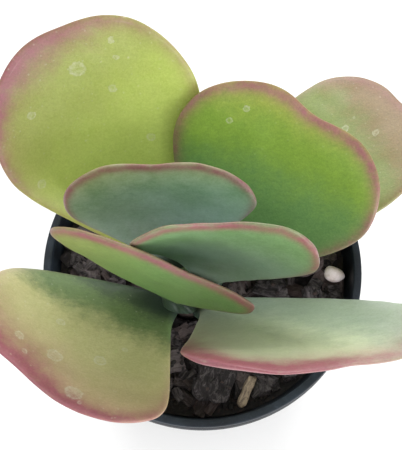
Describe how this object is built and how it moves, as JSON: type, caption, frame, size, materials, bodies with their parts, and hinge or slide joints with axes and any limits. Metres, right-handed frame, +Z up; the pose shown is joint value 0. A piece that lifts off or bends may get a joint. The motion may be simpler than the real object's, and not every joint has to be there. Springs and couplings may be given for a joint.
{
  "type": "potted kalanchoe",
  "caption": "Paddle-leaved succulent with broad round fleshy leaves on a short stem, growing in a round black nursery pot of bark mix.",
  "frame": {"origin": "centre of the pot's flat underside", "axes": "+Z up along the pot's axis, +X to the right and +Y away from someone who faces the plant's front"},
  "size_m": [0.1702, 0.1495, 0.2024],
  "materials": {
    "leaf": "satin",
    "stem_bark": "matte",
    "pot_plastic": "satin",
    "potting_mix": "matte",
    "bark": "matte",
    "pebble": "matte"
  },
  "bodies": {
    "root": {"bark_block": "bark", "bark_chip_01": "bark", "bark_chip_02": "bark", "bark_chip_03": "bark", "bark_chip_04": "bark", "bark_chip_05": "bark", "bark_chip_06": "bark", "bark_chip_07": "bark", "bark_chip_08": "bark", "bark_chip_09": "bark", "bark_chip_10": "bark", "bark_chip_11": "bark", "bark_chip_12": "bark", "bark_chip_13": "bark", "bark_chip_14": "bark", "bark_chip_15": "bark", "bark_chip_16": "bark", "bark_chip_17": "bark", "bark_chip_18": "bark", "bark_chip_19": "bark", "bark_chip_20": "bark", "bark_chip_21": "bark", "bark_chip_22": "bark", "bark_chip_23": "bark", "bark_chip_24": "bark", "bark_chip_25": "bark", "bark_chip_26": "bark", "bark_chip_27": "bark", "bark_chip_28": "bark", "bark_chip_29": "bark", "bark_slab": "bark", "bark_stick": "bark", "bark_wedge": "bark", "leaf_back_left": "leaf", "leaf_back_right": "leaf", "leaf_far_right": "leaf", "leaf_front_left": "leaf", "leaf_front_right": "leaf", "leaf_front_upright": "leaf", "leaf_inner_upright": "leaf", "leaf_rear_upright": "leaf", "pebble": "pebble", "pot": "pot_plastic", "soil": "potting_mix", "stem": "stem_bark", "young_leaf_left": "leaf", "young_leaf_right": "leaf"}
  },
  "joints": []
}
